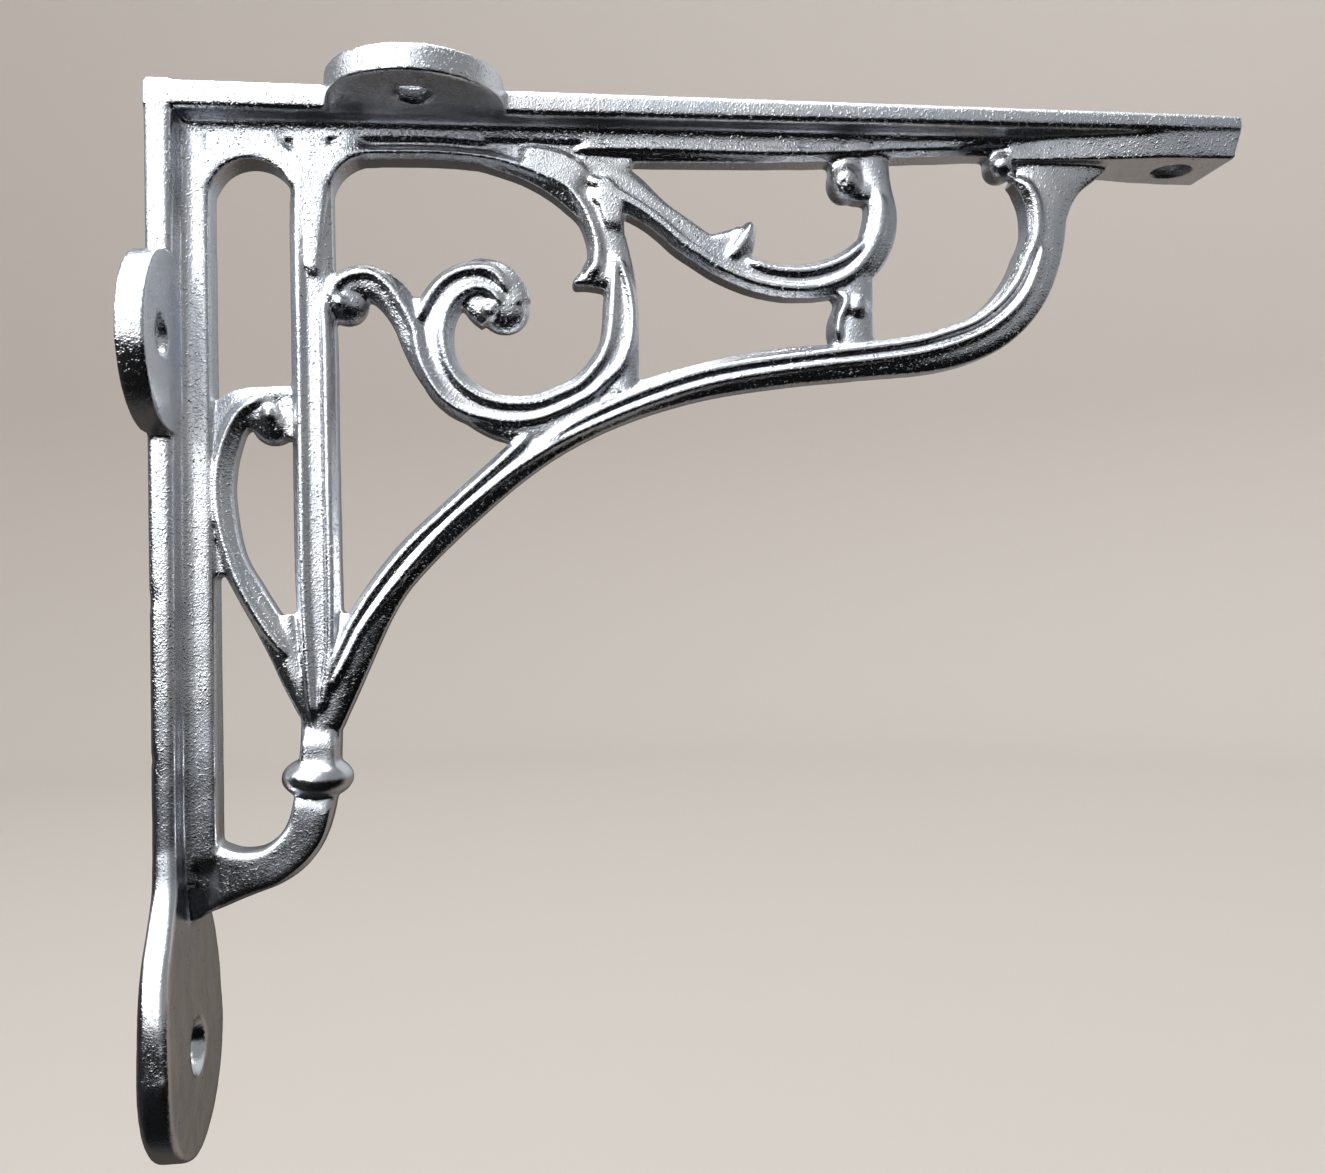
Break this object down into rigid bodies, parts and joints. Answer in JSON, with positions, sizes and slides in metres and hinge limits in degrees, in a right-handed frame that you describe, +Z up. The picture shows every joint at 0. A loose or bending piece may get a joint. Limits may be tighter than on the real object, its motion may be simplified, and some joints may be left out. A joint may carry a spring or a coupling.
{
  "type": "ornate shelf bracket",
  "caption": "Cast iron shelf bracket: a shelf plate and a wall plate at a right angle, joined by an openwork web of scrolls, with screw ears.",
  "frame": {"origin": "on the wall face, in the bracket's middle plane, level with the upper wall screw", "axes": "+Z up as mounted, +X out from the wall along the shelf arm, -Y the front with the screw ears"},
  "size_m": [0.152, 0.0328, 0.1405],
  "materials": {
    "plated_iron": "bright plating over the grain of a sand casting"
  },
  "bodies": {
    "root": {"bracket": "plated_iron"}
  },
  "joints": []
}
